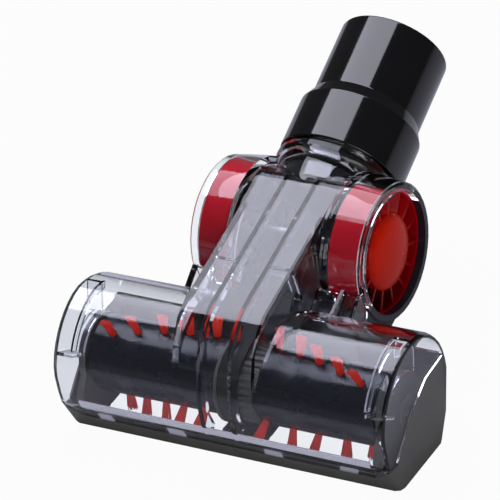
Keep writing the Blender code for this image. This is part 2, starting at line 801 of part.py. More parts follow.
def add_vane(shape, side, face, inner, angle):
    """One guide vane: a thin slanted plate from the hub to the cup's wall."""
    half = VANE_THICK / 2
    sweep = VANE_DEEP * math.tan(VANE_SLANT) * 0.5
    depths = ((face - 0.0001, -sweep), (face - VANE_DEEP + 0.0002, sweep))
    radii = (HUB_R - 0.0006, inner + 0.0006)
    corners = []
    for depth, shift in depths:
        for radius in radii:
            for edge in (-half, half):
                turn = angle + side * (shift + edge) / radius
                place = (side * depth, radius * math.cos(turn), radius * math.sin(turn))
                corners.append(shape.verts.new(place))
    for quad in ((0, 1, 3, 2), (4, 6, 7, 5), (0, 4, 5, 1), (2, 3, 7, 6), (0, 2, 6, 4), (1, 5, 7, 3)):
        shape.faces.new([corners[i] for i in quad])


def build_turbine_wheel(side, drum_axis, inlet_face):
    """A bladed wheel that runs in the inlet cup behind the guide vanes."""
    name = "turbine_wheel_" + ("right" if side > 0 else "left")
    rim = DRUM_R - DRUM_WALL - SEAT_GAP - CUP_WALL - WHEEL_CLEAR
    outer_face = inlet_face - VANE_DEEP - RUN_CLEAR - 0.0004
    back = outer_face - BLADE_WIDE
    bore = SHAFT_R
    profile = [
        (back - 0.0010, bore + SEAT_GAP),
        (back - 0.0010, WHEEL_HUB_R),
        (back, WHEEL_HUB_R + 0.0006),
        (back, rim),
        (back + WHEEL_DISC, rim),
        (back + WHEEL_DISC, WHEEL_HUB_R + 0.0004),
        (outer_face - 0.0012, WHEEL_HUB_R),
        (outer_face - 0.0012, bore + SEAT_GAP),
    ]
    wheel = revolve(name, [(side * a, r) for a, r in profile], drum_axis, steps=24)
    blades = bmesh.new()
    for i in range(BLADE_COUNT):
        add_blade(blades, side, back, outer_face, rim - 0.0004, math.tau * i / BLADE_COUNT)
    join(wheel, make_object(name + "_blades", blades, drum_axis))
    dress(wheel, NAVY)
    return wheel


def add_blade(shape, side, back, front, rim, angle):
    """A blade curved in the plane of the wheel, standing on its disc."""
    count = 4
    start_r = WHEEL_HUB_R - 0.0006
    outer, inner = [], []
    for i in range(count):
        share = i / (count - 1)
        radius = start_r + (rim - start_r) * share
        turn = angle + side * BLADE_TURN * share * share
        half = BLADE_THICK / 2 / radius
        outer.append((radius * math.cos(turn + half), radius * math.sin(turn + half)))
        inner.append((radius * math.cos(turn - half), radius * math.sin(turn - half)))
    foot, tip = side * (back + 0.0004), side * (front - 0.0002)
    add_prism(shape, outer + inner[::-1], min(foot, tip), max(foot, tip))


def toothed_outline(teeth, tip_r):
    """A pulley's outline, with trapezoid teeth at the belt's pitch."""
    root_r = tip_r - TOOTH_DEPTH
    points = []
    for i in range(teeth):
        for share, radius in ((0.08, root_r), (0.30, tip_r), (0.70, tip_r), (0.92, root_r)):
            angle = math.tau * (i + share) / teeth
            points.append((radius * math.cos(angle), radius * math.sin(angle)))
    return points


def pulley_radius(teeth):
    return teeth * TOOTH_PITCH / math.tau


def build_turbine_shaft(drum_axis, inlet_face):
    """The steel cross shaft, its two bearings and the small toothed pulley on it."""
    end = inlet_face - 0.0010 - SEAT_GAP
    shaft = cylinder("turbine_shaft", -end, end, SHAFT_R, drum_axis, steps=16)
    dress(shaft, STEEL, metallic=1.0)
    for side in (-1, 1):
        name = "turbine_bearing_" + ("right" if side > 0 else "left")
        far = end
        near = far - BEARING_WIDE
        bore = SHAFT_R + SEAT_GAP
        soft = 0.0003
        profile = [(near, bore), (near, BEARING_R - soft), (near + soft, BEARING_R)]
        profile += [(far - soft, BEARING_R), (far, BEARING_R - soft), (far, bore)]
        bearing = revolve(name, [(side * a, r) for a, r in profile], drum_axis, steps=SMALL_STEPS)
        dress(bearing, STEEL, metallic=1.0)
    tip_r = pulley_radius(TURBINE_TEETH)
    teeth = toothed_outline(TURBINE_TEETH, tip_r)
    pulley = prism("turbine_pulley", teeth, PULLEY_LEFT + 0.0004, PULLEY_RIGHT - 0.0030, drum_axis)
    for name, start in (("left", PULLEY_LEFT + 0.0002), ("right", BELT_LEFT + BELT_WIDE + RUN_CLEAR)):
        name = "turbine_pulley_" + name
        flange = cylinder(name, start, start + 0.0010, tip_r + FLANGE_OVER, drum_axis, steps=SMALL_STEPS)
        join(pulley, flange)
    cut(pulley, cylinder("turbine_pulley_bore", -0.02, 0.02, SHAFT_R + SEAT_GAP, drum_axis, steps=16))
    dress(pulley, CHARCOAL)


def belt_loop(inner_extra):
    """The belt's path round both pulleys, as (y, z) points from the roller's axis."""
    big = pulley_radius(ROLLER_TEETH) + RUN_CLEAR + inner_extra
    small = pulley_radius(TURBINE_TEETH) + RUN_CLEAR + inner_extra
    span = Vector((DRUM_Y - ROLLER_Y, DRUM_Z - ROLLER_Z))
    lean = math.atan2(span.y, span.x)
    open_angle = math.degrees(math.acos((big - small) / span.length))
    lean = math.degrees(lean)
    roller_side = arc((0.0, 0.0), big, lean + open_angle, lean + 360 - open_angle, 21)
    turbine_side = arc(tuple(span), small, lean - open_angle, lean + open_angle, 11)
    return roller_side + turbine_side


def build_belt(roller_axis):
    """The flat loop from the turbine's pulley to the roller's."""
    inner = belt_loop(0.0)
    outer = belt_loop(BELT_THICK)
    shape = bmesh.new()
    rings = []
    right = BELT_LEFT + BELT_WIDE
    for loop, place in ((inner, BELT_LEFT), (outer, BELT_LEFT), (outer, right), (inner, right)):
        rings.append([shape.verts.new((place, y, z)) for y, z in loop])
    for ring, after in zip(rings, rings[1:] + rings[:1]):
        for i in range(len(ring)):
            n = (i + 1) % len(ring)
            shape.faces.new((ring[i], ring[n], after[n], after[i]))
    belt = make_object("drive_belt", shape, roller_axis)
    dress(belt, RUBBER)


def tuft_places():
    """(x, angle) of every tuft: rows that lead at the middle and trail at the ends."""
    places = []
    for row in TUFT_ROWS:
        for side in (-1, 1):
            for i in range(TUFTS_PER_ROW):
                reach = TUFT_FIRST + TUFT_PITCH * i
                places.append((side * reach, row + TUFT_TWIST * (reach - TUFT_FIRST)))
    return places


def radial(angle, x, radius):
    """Places local Z along a radius of the roller, at x, with its foot at the radius."""
    turn = Matrix.Rotation(angle - math.pi / 2, 4, "X")
    return Matrix.Translation((x, 0.0, 0.0)) @ turn @ Matrix.Translation((0.0, 0.0, radius))


def build_roller(roller_axis):
    """Two tufted barrels with a toothed pulley between them, on one steel axle."""
    places = tuft_places()
    left = [place for place in places if place[0] < 0]
    right = [place for place in places if place[0] > 0]
    build_barrel("roller_left", -ROLLER_END, PULLEY_LEFT - SEAT_GAP, left, roller_axis)
    build_barrel("roller_right", ROLLER_END, PULLEY_RIGHT + SEAT_GAP, right, roller_axis)
    tip_r = pulley_radius(ROLLER_TEETH)
    teeth = toothed_outline(ROLLER_TEETH, tip_r)
    pulley = prism("roller_pulley", teeth, PULLEY_LEFT + 0.0004, PULLEY_RIGHT, roller_axis)
    flange_end = PULLEY_LEFT + FLANGE_WIDE
    join(pulley, cylinder("roller_pulley_flange", PULLEY_LEFT, flange_end, tip_r + FLANGE_OVER, roller_axis))
    cut(pulley, cylinder("roller_pulley_bore", -0.02, 0.02, AXLE_R + SEAT_GAP, roller_axis, steps=16))
    dress(pulley, RUBBER)
    end = ROLLER_END + AXLE_OVER
    axle = cylinder("roller_axle", -end, end, AXLE_R, roller_axis, steps=16)
    dress(axle, STEEL, metallic=1.0)
    for i, (x, angle) in enumerate(places):
        build_tuft("tuft_%02d" % (i + 1), x, angle, roller_axis)


def build_barrel(name, far, near, places, roller_axis):
    """One barrel: a tube with a web at its far end, holes for its tufts and two mould seams."""
    soft = 0.0005
    bore = AXLE_R + SEAT_GAP
    out = 1 if far > near else -1
    hollow = ROLLER_R - ROLLER_WALL
    barrel = revolve(name, [
        (near, hollow),
        (near, ROLLER_R - soft),
        (near + out * soft, ROLLER_R),
        (far - out * soft, ROLLER_R),
        (far, ROLLER_R - soft),
        (far, bore),
        (far - out * ROLLER_WALL, bore),
        (far - out * ROLLER_WALL, hollow),
    ], roller_axis, steps=36)
    start, end = sorted((far, near))
    cutter = bmesh.new()
    hole_r = TUFT_ROOT_R + SEAT_GAP
    for x, angle in places:
        bmesh.ops.create_cone(
            cutter, cap_ends=True, segments=10, radius1=hole_r, radius2=hole_r,
            depth=2 * TUFT_HOLE_DEPTH, matrix=radial(angle, x, ROLLER_R),
        )
    cut(barrel, make_object(name + "_tuft_holes", cutter, roller_axis))
    seams = bmesh.new()
    for turn in (0.0, math.pi):
        along = Vector((math.cos(SEAM_ANGLE + turn), math.sin(SEAM_ANGLE + turn)))
        across = Vector((-along.y, along.x)) * SEAM_DEPTH / 2
        low, high = along * (ROLLER_R - SEAM_DEPTH), along * (ROLLER_R + 0.001)
        outline = [tuple(p) for p in (low - across, high - across, high + across, low + across)]
        add_prism(seams, outline, start - 0.001, end + 0.001)
    cut(barrel, make_object(name + "_seams", seams, roller_axis))
    dress(barrel, NAVY)


def build_tuft(name, x, angle, roller_axis):
    """A bundle of bristles, round at its root and spread along the roller at its tip."""
    shape = bmesh.new()
    sides = 8
    foot = ROLLER_R - TUFT_HOLE_DEPTH + SEAT_GAP
    levels = (
        (0.0, TUFT_ROOT_R, TUFT_ROOT_R),
        (TUFT_HOLE_DEPTH, TUFT_ROOT_R, TUFT_ROOT_R),
        (TUFT_HOLE_DEPTH + TUFT_LENGTH, TUFT_TIP_LONG, TUFT_TIP_WIDE),
    )
    rings = []
    for height, long_r, wide_r in levels:
        ring = []
        for i in range(sides):
            turn = math.tau * i / sides
            ring.append(shape.verts.new((long_r * math.cos(turn), wide_r * math.sin(turn), height)))
        rings.append(ring)
    for ring, after in zip(rings, rings[1:]):
        for i in range(sides):
            n = (i + 1) % sides
            shape.faces.new((ring[i], ring[n], after[n], after[i]))
    shape.faces.new(rings[0][::-1])
    shape.faces.new(rings[-1])
    bmesh.ops.transform(shape, matrix=radial(angle, x, foot), verts=shape.verts)
    dress(make_object(name, shape, roller_axis), TUFT_RED)


def build_end_bearings(roller_axis):
    """A black cap at each end of the roller, standing on the sole, with its bush."""
    cap_start = ROLLER_END + 0.0010
    floor = SOLE_THICK + SEAT_GAP - ROLLER_Z
    outline = arc((0.0, 0.0), CAP_R, -40, 186, 25)
    outline += [
        (-CAP_KNEE + 0.0026, -0.0038),
        (-CAP_KNEE + 0.0007, -0.0068),
        (-CAP_KNEE, -0.0098),
        (-CAP_FOOT_FRONT - 0.0005, floor + 0.0043),
        (-CAP_FOOT_FRONT, floor),
        (CAP_FOOT_REAR, floor),
    ]
    bush_r = AXLE_R + RUN_CLEAR + BUSH_WALL
    for side in (-1, 1):
        tail = "right" if side > 0 else "left"
        start, end = sorted((side * cap_start, side * (cap_start + CAP_THICK)))
        cap = prism("roller_cap_" + tail, outline, start, end, roller_axis)
        over = SEAT_GAP
        cut(cap, cylinder("cap_bore_" + tail, start - over, end + over, bush_r + SEAT_GAP, roller_axis, 24))
        dress(cap, CHARCOAL)
        flange = cap_start + CAP_THICK + SEAT_GAP
        profile = [
            (cap_start, AXLE_R + RUN_CLEAR),
            (cap_start, bush_r),
            (flange, bush_r),
            (flange, bush_r + BUSH_RIM),
            (flange + BUSH_FLANGE, bush_r + BUSH_RIM),
            (flange + BUSH_FLANGE, AXLE_R + RUN_CLEAR),
        ]
        bush = revolve("roller_bush_" + tail, [(side * a, r) for a, r in profile], roller_axis, steps=24)
        dress(bush, CHARCOAL)


def build_swivel(tube_axis):
    """The inner sleeve, held in the collar's groove, and the stepped hose connector on it."""
    skirt_start = COLLAR_END + 0.0008
    skirt_end = skirt_start + SKIRT_LONG
    step_end = skirt_end + STEP_LONG
    sleeve_r = COLLAR_BORE - SEAT_GAP
    flange_r = COLLAR_BORE + GROOVE_DEEP - SEAT_GAP
    flange_low = GROOVE_START + SEAT_GAP
    flange_high = GROOVE_START + GROOVE_WIDE - SEAT_GAP
    skirt_bore = SKIRT_R - SKIRT_WALL
    shoulder = skirt_end - 0.0014
    head_low = shoulder - SEAT_GAP - SLEEVE_FLANGE
    head_high = shoulder - SEAT_GAP
    sleeve = revolve("swivel_sleeve", [
        (SLEEVE_START, SLEEVE_BORE),
        (SLEEVE_START, sleeve_r),
        (flange_low, sleeve_r),
        (flange_low, flange_r),
        (flange_high, flange_r),
        (flange_high, sleeve_r),
        (head_low, sleeve_r),
        (head_low, skirt_bore - SEAT_GAP),
        (head_high, skirt_bore - SEAT_GAP),
        (head_high, SLEEVE_BORE),
    ], tube_axis, axis="Z")
    dress(sleeve, BLACK)
    end = step_end + TUBE_LONG
    connector = revolve("hose_connector", [
        (skirt_start, skirt_bore),
        (skirt_start, SKIRT_R - 0.0003),
        (skirt_start + 0.0003, SKIRT_R),
        (skirt_end - 0.0006, SKIRT_R),
        (skirt_end, SKIRT_R - 0.0004),
        (step_end, TUBE_R + 0.0001),
        (step_end + 0.0006, TUBE_R),
        (end - RIM_ROUND, TUBE_R),
        (end - RIM_SOFT, TUBE_R - RIM_SOFT),
        (end, TUBE_R - RIM_ROUND),
        (end, SOCKET_R + 0.0004),
        (end - 0.0004, SOCKET_R),
        (shoulder + 0.0020, SOCKET_R - 0.0002),
        (shoulder, SLEEVE_BORE),
        (shoulder, skirt_bore),
    ], tube_axis, steps=48, axis="Z")
    dress(connector, BLACK)


def main():
    clear_scene()
    frame = axis_empty("head_frame", (0.0, -MIDDLE_Y, 0.0))
    drum_axis = axis_empty("turbine_axis", (0.0, DRUM_Y, DRUM_Z), parent=frame)
    roller_axis = axis_empty("roller_axis", (0.0, ROLLER_Y, ROLLER_Z), parent=frame)
    tube_axis = axis_empty("tube_axis", (0.0, DRUM_Y, DRUM_Z), TUBE_TILT - math.pi / 2, frame)
    outer = housing_form("housing_outside", 0.0, frame, drum_axis, tube_axis)
    inner = housing_form("housing_inside", WALL, frame, drum_axis, tube_axis)
    above = parting_form("parting_above", SEAT_GAP, frame)
    below = parting_form("parting_below", 0.0, frame)
    outer.display_type = "WIRE"
    rings = bulkhead_rings(drum_axis, tube_axis)
    build_cover(frame, outer, inner, above, rings)
    build_base(frame, outer, inner, below, rings)
    inlet_face = DRUM_HALF - MOUTH_DEEP - SEAT_GAP
    for side in (-1, 1):
        build_inlet(side, drum_axis)
        build_turbine_wheel(side, drum_axis, inlet_face)
    build_turbine_shaft(drum_axis, inlet_face)
    build_belt(roller_axis)
    build_roller(roller_axis)
    build_end_bearings(roller_axis)
    build_swivel(tube_axis)


main()
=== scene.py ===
# %% [markdown]
# # A clear and black brush head, dressed over its CAD part
#
# The CAD part holds every solid of this air-driven brush head: a clear upper moulding, a
# black base, red inlets, a tufted roller, a belt drive and a swivelling hose connector.
# This script gives those solids their finishes, swaps the plain tufts for real bristles,
# and sets up the floor, the lamps and the camera of the reference picture.

import json
import math
import random

import bmesh
import bpy
from mathutils import Matrix, Vector

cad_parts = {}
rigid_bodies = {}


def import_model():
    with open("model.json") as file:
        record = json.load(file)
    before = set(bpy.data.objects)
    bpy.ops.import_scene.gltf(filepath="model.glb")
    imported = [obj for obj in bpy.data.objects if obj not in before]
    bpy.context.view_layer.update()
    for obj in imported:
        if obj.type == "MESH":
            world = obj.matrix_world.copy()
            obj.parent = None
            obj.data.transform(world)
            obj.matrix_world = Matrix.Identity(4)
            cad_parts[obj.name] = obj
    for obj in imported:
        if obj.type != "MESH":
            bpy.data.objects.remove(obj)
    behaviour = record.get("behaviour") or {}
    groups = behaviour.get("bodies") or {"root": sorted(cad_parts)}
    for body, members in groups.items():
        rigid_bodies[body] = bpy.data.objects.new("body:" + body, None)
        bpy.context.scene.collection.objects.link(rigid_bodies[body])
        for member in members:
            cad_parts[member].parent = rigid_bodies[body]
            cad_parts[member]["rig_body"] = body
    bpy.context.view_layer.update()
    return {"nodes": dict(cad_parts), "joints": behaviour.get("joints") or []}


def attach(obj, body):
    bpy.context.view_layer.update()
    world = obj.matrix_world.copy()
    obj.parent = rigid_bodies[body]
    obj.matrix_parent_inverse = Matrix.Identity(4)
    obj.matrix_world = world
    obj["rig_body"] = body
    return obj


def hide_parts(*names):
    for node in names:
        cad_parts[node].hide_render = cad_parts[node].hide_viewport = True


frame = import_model()
nodes = frame["nodes"]
axes = {joint["name"]: Vector(joint["pos_m"]) for joint in frame["joints"]}
body_of = {name: piece["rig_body"] for name, piece in nodes.items()}

# %% [markdown]
# ## Shader sums written as plain sums
#
# A finish such as "a little rougher where the scratches are" is a sum over a few patterns.
# In the shader editor each plus or times is a Math node. A small class can hold a socket
# and add that node by itself whenever Python sees the sum, so the text below reads like
# the formula. Numbers that do not change over the surface are worked out in Python.

# %% A socket that can be added and multiplied
class Level:
    """A number that varies over a surface: a socket that takes part in sums."""

    def __init__(self, shading, socket):
        self.shading = shading
        self.socket = socket

    def __add__(self, other):
        return self.shading.math("ADD", self, other)

    def __radd__(self, other):
        return self.shading.math("ADD", other, self)

    def __sub__(self, other):
        return self.shading.math("SUBTRACT", self, other)

    def __rsub__(self, other):
        return self.shading.math("SUBTRACT", other, self)

    def __mul__(self, other):
        return self.shading.math("MULTIPLY", self, other)

    def __rmul__(self, other):
        return self.shading.math("MULTIPLY", other, self)


print("sockets take plus, minus and times")

# %% [markdown]
# ## One object per tree of nodes
#
# Plastic, paper and the room's light are all trees of shader nodes. The class below is such
# a tree. Its method `node` adds any node: its type, its settings, and what goes into its
# sockets. `put` fills a socket with a link, a colour or a number, whichever it is given.

# %% A tree that adds its own nodes
class Shading:
    """A tree of shader nodes."""

    def __init__(self, tree):
        self.tree = tree

    def put(self, socket, value):
        """Fills a socket with a link, a colour or a number."""
        if isinstance(value, Level):
            self.tree.links.new(value.socket, socket)
        elif socket.type == "RGBA" and len(value) == 3:
            socket.default_value = (*value, 1.0)
        else:
            socket.default_value = value

    def node(self, kind, settings=None, sockets=None, output=0):
        """Adds a node: its settings first, then its sockets."""
        added = self.tree.nodes.new(kind)
        for name, value in (settings or {}).items():
            setattr(added, name, value)
        for name, value in (sockets or {}).items():
            self.put(added.inputs[name], value)
        return Level(self, added.outputs[output])

    def math(self, operation, first, second):
        return self.node("ShaderNodeMath", {"operation": operation}, {0: first, 1: second})


print("a tree of nodes can grow")

# %% [markdown]
# ## Patterns that moulded plastic needs
#
# Every finish starts as a Principled shader, with the sockets that stay the same all over
# set on the shader itself. The patterns are short methods on top: cloudy noise, fine
# scratches, a mix of two colours and a bump. They could be image textures, but noise on
# Object coordinates needs no picture, has no seam and keeps its size in metres.

# %% The finish builder
CLOUD_ROUGHNESS = 0.55
SCRATCH_SQUEEZE = 0.02
PATCH_SIZE, PATCH_FROM, PATCH_TO = 0.02, 0.45, 0.65
CREST = 0.06


class Finish(Shading):
    """A Principled material with procedural detail on Object coordinates."""

    def __init__(self, name, **steady):
        self.material = bpy.data.materials.new(name)
        self.material.use_nodes = True
        super().__init__(self.material.node_tree)
        self.shader = self.tree.nodes["Principled BSDF"]
        for socket, value in steady.items():
            self.put(self.shader.inputs[socket.replace("_", " ")], value)
        self.place = self.node("ShaderNodeTexCoord", output="Object")

    def stretched(self, scale, turn=(0.0, 0.0, 0.0)):
        """Object coordinates, scaled and turned, to draw a pattern out in one direction."""
        where = {"Vector": self.place, "Scale": scale, "Rotation": turn}
        return self.node("ShaderNodeMapping", None, where)

    def cloud(self, size, detail=3.0, where=None):
        """Soft noise, from 0 to 1, whose lumps are about size metres across."""
        sockets = {"Vector": where or self.place, "Scale": 1.0 / size}
        sockets.update({"Detail": detail, "Roughness": CLOUD_ROUGHNESS})
        return self.node("ShaderNodeTexNoise", None, sockets)

    def ramp(self, level, low, high):
        """The level stretched so that low becomes 0 and high becomes 1."""
        stretch = {"Value": level, "From Min": low, "From Max": high}
        return self.node("ShaderNodeMapRange", None, stretch)

    def scratches(self, size, amount, turn):
        """Fine straight scratches, in patches: the crests of noise drawn out in one direction."""
        long = self.cloud(size, 2.0, self.stretched((1.0, SCRATCH_SQUEEZE, 1.0), turn))
        patches = self.ramp(self.cloud(PATCH_SIZE, 2.0), PATCH_FROM, PATCH_TO)
        return self.ramp(long, 1.0 - amount, 1.0 - amount + CREST) * patches

    def blend(self, amount, first, second):
        """A colour between two colours; sockets 6 and 7 are the Mix node's colours."""
        sockets = {"Factor": amount, 6: first, 7: second}
        return self.node("ShaderNodeMix", {"data_type": "RGBA"}, sockets, output=2)

    def color(self, level):
        self.put(self.shader.inputs["Base Color"], level)

    def rough(self, level):
        self.put(self.shader.inputs["Roughness"], level)

    def bump(self, level, height, strength):
        """Relief: the level times height in metres."""
        sockets = {"Height": level, "Distance": height, "Strength": strength}
        self.put(self.shader.inputs["Normal"], self.node("ShaderNodeBump", None, sockets))


print("finish builder ready")

# %% [markdown]
# ## The clear moulding
#
# The upper housing of the real head is injection-moulded polycarbonate: water-clear, very
# slightly smoky, with a polish that shows the lamp as sharp shapes. Glass could be a Glass
# shader, but a Principled shader with full Transmission keeps roughness and colour in one
# place and survives export. The wear is faint: hairline scratches and a breath of haze,
# both in the roughness, and a waviness of a few micrometres in the normal.

# %% Clear plastic
SMOKE_DEEP, SMOKE_PALE = (0.905, 0.92, 0.97), (0.93, 0.945, 0.985)
clear = Finish("clear_polycarbonate", Transmission_Weight=1.0, IOR=1.49)
haze = clear.cloud(0.012, detail=4.0)
hairlines = clear.scratches(0.0006, amount=0.36, turn=(0.3, 0.2, 0.9))
clear.color(clear.blend(haze, SMOKE_DEEP, SMOKE_PALE))
clear.rough(0.004 + 0.010 * haze + 0.14 * hairlines)
clear.bump(clear.cloud(0.014, detail=1.0), height=0.00003, strength=0.25)
print("made", clear.material.name)

# %% [markdown]
# ## The black mouldings
#
# The base is satin black with the fine spark-eroded grain that moulds leave, so it gets a
# noise bump of about half a millimetre from grain to grain and a broken-up roughness. Behind
# the head, on the drums and the neck, the mould is smoother, so one finish runs from the one
# to the other along Y: the roughness drops, and the colour drops to a near-black that is
# painted shade for the dark under the clear neck and drums. The hose connector and its
# sleeve are polished black: nearly smooth, with the slight waviness of a thick wall that
# shrank as it cooled, and a few scuffs from hoses pushed over it.

# %% Satin and gloss black
HEAD_END_Y, DRUM_START_Y = -0.036, -0.030
WORN_FROM, WORN_TO = 0.35, 0.75
GRAINED_DEEP, GRAINED_PALE = (0.135, 0.134, 0.122), (0.172, 0.170, 0.156)
# Painted shade: the near-black of the base behind the head, under the clear neck and drums.
SHADE_BLACK_DEEP, SHADE_BLACK_PALE = (0.011, 0.012, 0.017), (0.020, 0.022, 0.029)
satin = Finish("satin_black_plastic", IOR=1.5)
grain = satin.cloud(0.00045, detail=2.0)
worn = satin.cloud(0.014, detail=4.0)
grained = satin.blend(satin.ramp(worn, WORN_FROM, WORN_TO), GRAINED_DEEP, GRAINED_PALE)
shade_black = satin.blend(worn, SHADE_BLACK_DEEP, SHADE_BLACK_PALE)
behind_head = satin.node("ShaderNodeSeparateXYZ", None, {"Vector": satin.place}, output="Y")
smooth_and_shaded_share = satin.ramp(behind_head, HEAD_END_Y, DRUM_START_Y)
satin.color(satin.blend(smooth_and_shaded_share, grained, shade_black))
satin.rough(0.36 + 0.10 * grain + 0.08 * worn - 0.14 * smooth_and_shaded_share)
satin.bump(grain, height=0.00003, strength=0.6)

GLOSS_DEEP, GLOSS_PALE = (0.0042, 0.0043, 0.0048), (0.0075, 0.0076, 0.0082)
gloss = Finish("polished_black_plastic", IOR=1.52, Coat_Weight=0.25, Coat_Roughness=0.03)
smear = gloss.cloud(0.016, detail=4.0)
scuffs = gloss.scratches(0.0005, amount=0.34, turn=(0.5, 0.1, 1.3))
gloss.color(gloss.blend(smear, GLOSS_DEEP, GLOSS_PALE))
gloss.rough(0.07 + 0.05 * smear + 0.22 * scuffs)
gloss.bump(gloss.cloud(0.011, detail=1.0), height=0.00008, strength=0.25)
print("made", satin.material.name, "and", gloss.material.name)

# %% [markdown]
# ## The blue-black roller
#
# The roller's barrels look navy-black and semi-gloss, as moulded plastic with a little blue
# pigment does, so the two colours that the noise mixes differ mostly in lightness. The
# turbine wheels in the drums get the same plastic.

# %% Navy plastic
NAVY_DEEP, NAVY_PALE = (0.0035, 0.0055, 0.0150), (0.0055, 0.0085, 0.0215)
navy = Finish("navy_plastic", IOR=1.5)
sheen = navy.cloud(0.010, detail=4.0)
navy.color(navy.blend(sheen, NAVY_DEEP, NAVY_PALE))
navy.rough(0.20 + 0.14 * sheen)
navy.bump(navy.cloud(0.0007, detail=2.0), height=0.000012, strength=0.5)
print("made", navy.material.name)

# %% [markdown]
# ## The crimson inlets and their orange-red hubs
#
# The inlets are crimson on the outside of their cups and a warmer orange-red on the domed
# hub. Between the guide vanes the red is painted darker: painted shade for the recesses
# between the vanes. Three materials could do that, but the real inlet is one moulding, so
# one finish mixes three reds by the distance from the turbine's axis, which an Object
# coordinate gives without any texture.

# %% Red plastic
CUP_CRIMSON = (0.84, 0.001, 0.022)
# Painted shade: the darker red of the ring between the vanes.
PAINTED_VANE_SHADE = (0.42, 0.001, 0.004)
HUB_ORANGE = (0.84, 0.022, 0.005)
HUB_R, VANE_R = 0.0125, 0.0160
CUP_INSIDE_R, CUP_OUTSIDE_R = 0.0209, 0.0213
crimson = Finish(
    "red_plastic",
    IOR=1.49,
    Specular_IOR_Level=0.10,
    Subsurface_Weight=0.12,
    Subsurface_Scale=0.0015,
    Subsurface_Radius=(1.0, 0.25, 0.15),
)
hub = axes["turbine_spin"]
to_axis = {"Vector": crimson.place, "Location": (0.0, -hub.y, -hub.z), "Scale": (0.0, 1.0, 1.0)}
centred = crimson.node("ShaderNodeMapping", None, to_axis)
away = crimson.node("ShaderNodeVectorMath", {"operation": "LENGTH"}, {0: centred}, output="Value")
mottle = crimson.cloud(0.008, detail=4.0)
off_hub = crimson.ramp(away + 0.0012 * mottle, HUB_R, VANE_R)
inside = crimson.blend(off_hub, HUB_ORANGE, PAINTED_VANE_SHADE)
cup_wall = crimson.ramp(away, CUP_INSIDE_R, CUP_OUTSIDE_R)
crimson.color(crimson.blend(cup_wall, inside, CUP_CRIMSON))
rubbed = crimson.scratches(0.0005, amount=0.35, turn=(0.2, 0.4, 0.8))
crimson.rough(0.16 + 0.16 * mottle + 0.12 * rubbed)
crimson.bump(crimson.cloud(0.0009, detail=2.0), height=0.00001, strength=0.4)
print("made", crimson.material.name)

# %% [markdown]
# ## Rubber and steel
#
# The belt is matt rubber, dusty in its pores. The axles and bearings are ground steel, whose
# grind marks run round the shaft. A picture of brushed steel could be wrapped round them,
# but noise squeezed along X is simpler and has no seam: it changes fast along the shaft and
# hardly round it.

# %% Small parts' finishes
RUBBER_BLACK, RUBBER_DUSTY = (0.010, 0.010, 0.011), (0.028, 0.027, 0.026)
rubber = Finish("belt_rubber", IOR=1.5)
dust = rubber.cloud(0.0016, detail=4.0)
rubber.color(rubber.blend(dust, RUBBER_BLACK, RUBBER_DUSTY))
rubber.rough(0.55 + 0.25 * dust)
rubber.bump(rubber.cloud(0.0005, detail=2.0), height=0.00004, strength=0.7)

STEEL_DARK, STEEL_BRIGHT = (0.46, 0.46, 0.47), (0.66, 0.66, 0.66)
ROUND_THE_SHAFT = (1.0, 0.05, 0.05)
steel = Finish("ground_steel", Metallic=1.0)
marks = steel.cloud(0.0006, where=steel.stretched(ROUND_THE_SHAFT))
steel.color(steel.blend(marks, STEEL_DARK, STEEL_BRIGHT))
steel.rough(0.20 + 0.22 * marks)
steel.bump(marks, height=0.000008, strength=0.5)
print("made", rubber.material.name, "and", steel.material.name)

# %% [markdown]
# ## Dressing a CAD node
#
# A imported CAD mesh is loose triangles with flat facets, which a polished or clear finish
# shows at once. Moulded plastic has soft shading across a curve and a crisp line only at a
# real corner. So each node is copied, its doubles are merged and its flat triangles
# dissolved into whole faces, it is shaded smooth, and the edges that turn by more than an
# angle are marked sharp. A Weighted Normal modifier keeps large flats truly flat.

# %% Copy, merge and shade a node
SAME_POINT = 0.000002
SAME_PLANE = math.radians(0.6)
FLAT_WEIGHT = 60
ROUND_STEPS = 2


def placed(name, data):
    """Puts a mesh, a lamp or a camera into the scene."""
    thing = bpy.data.objects.new(name, data)
    bpy.context.scene.collection.objects.link(thing)
    return thing


def dressed(name, finish, slot, sharp=28.0, soft=0.0):
    """The CAD node's shape, shaded as a moulding: sharp in degrees, soft corners in metres."""
    corner = math.radians(sharp)
    mesh = nodes[name].data.copy()
    if "custom_normal" in mesh.attributes:
        mesh.attributes.remove(mesh.attributes["custom_normal"])
    shape = bmesh.new()
    shape.from_mesh(mesh)
    bmesh.ops.remove_doubles(shape, verts=shape.verts, dist=SAME_POINT)
    bmesh.ops.dissolve_limit(shape, angle_limit=SAME_PLANE, verts=shape.verts, edges=shape.edges)
    for face in shape.faces:
        face.smooth = True
    for edge in shape.edges:
        edge.smooth = edge.calc_face_angle(math.pi) < corner
    shape.to_mesh(mesh)
    shape.free()
    mesh.materials.clear()
    mesh.materials.append(finish.material)
    piece = placed(name + "_dressed", mesh)
    if soft:
        rounding = piece.modifiers.new("soft_edges", "BEVEL")
        rounding.width = soft
        rounding.segments = ROUND_STEPS
        rounding.limit_method = "ANGLE"
        rounding.angle_limit = corner
        rounding.miter_outer = "MITER_ARC"
    weighted = piece.modifiers.new("flat_flats", "WEIGHTED_NORMAL")
    weighted.keep_sharp = not soft
    weighted.weight = FLAT_WEIGHT
    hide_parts(name)
    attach(piece, body_of[name])
    return piece


print("ready to dress", len(nodes), "nodes")
